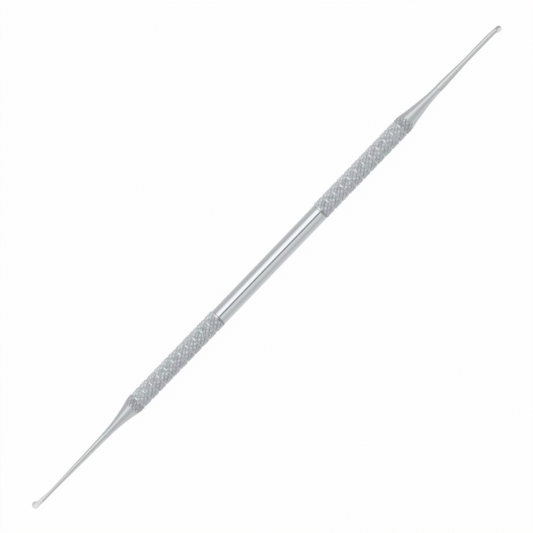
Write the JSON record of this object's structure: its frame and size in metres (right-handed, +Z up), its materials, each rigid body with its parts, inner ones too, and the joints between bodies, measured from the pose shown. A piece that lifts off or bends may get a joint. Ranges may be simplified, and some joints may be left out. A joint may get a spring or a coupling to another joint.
{
  "type": "pedicure curette",
  "caption": "Slim double-ended steel hand tool: a smooth barrel between knurled, ring-grooved grips, with a small round scoop on a thin shank at each end.",
  "frame": {"origin": "under the middle of the tool's whole length, on the surface that it lies on", "axes": "X runs along the tool, with the larger scoop at -X and the smaller one at +X; Z points up from the surface"},
  "size_m": [0.168, 0.005, 0.0049],
  "materials": {
    "polished_steel": "polished stainless steel with fine lengthwise polishing lines",
    "knurled_steel": "bright turned stainless steel, diamond knurl between polished ring grooves, smooth satin cone",
    "satin_steel": "hand-ground satin stainless steel"
  },
  "bodies": {
    "root": {"barrel": "polished_steel", "large_end_grip": "knurled_steel", "small_end_grip": "knurled_steel", "large_scoop": "satin_steel", "small_scoop": "satin_steel"}
  },
  "joints": []
}
